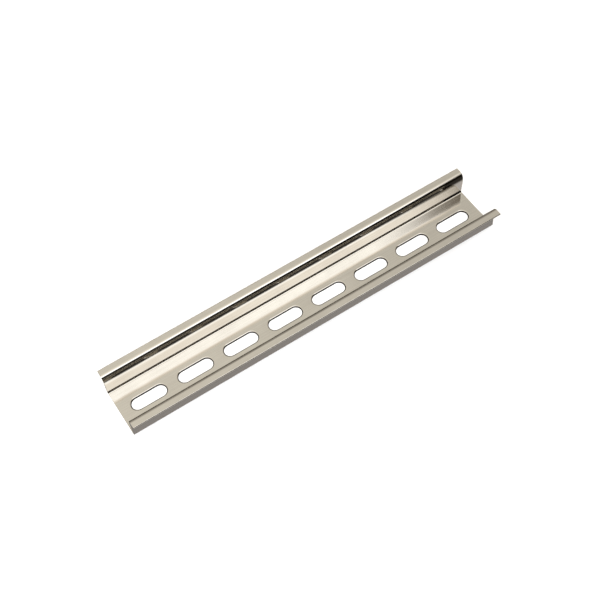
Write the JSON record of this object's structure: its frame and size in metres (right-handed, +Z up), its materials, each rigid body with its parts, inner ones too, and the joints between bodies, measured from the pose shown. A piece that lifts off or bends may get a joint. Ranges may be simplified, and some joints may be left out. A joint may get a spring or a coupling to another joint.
{
  "type": "din rail",
  "caption": "Deep top-hat mounting rail of rolled sheet steel, with a row of obround slots along its web, that carries clip-on electrical modules on its two flanges.",
  "frame": {"origin": "middle of the web's underside", "axes": "+X along the rail, +Y across it towards the far flange, +Z up out of the channel"},
  "size_m": [0.205, 0.035, 0.015],
  "materials": {
    "plated_steel": "bright plated sheet, lightly clouded, with drawn lines along the rail"
  },
  "bodies": {
    "root": {"rail": "plated_steel"}
  },
  "joints": []
}
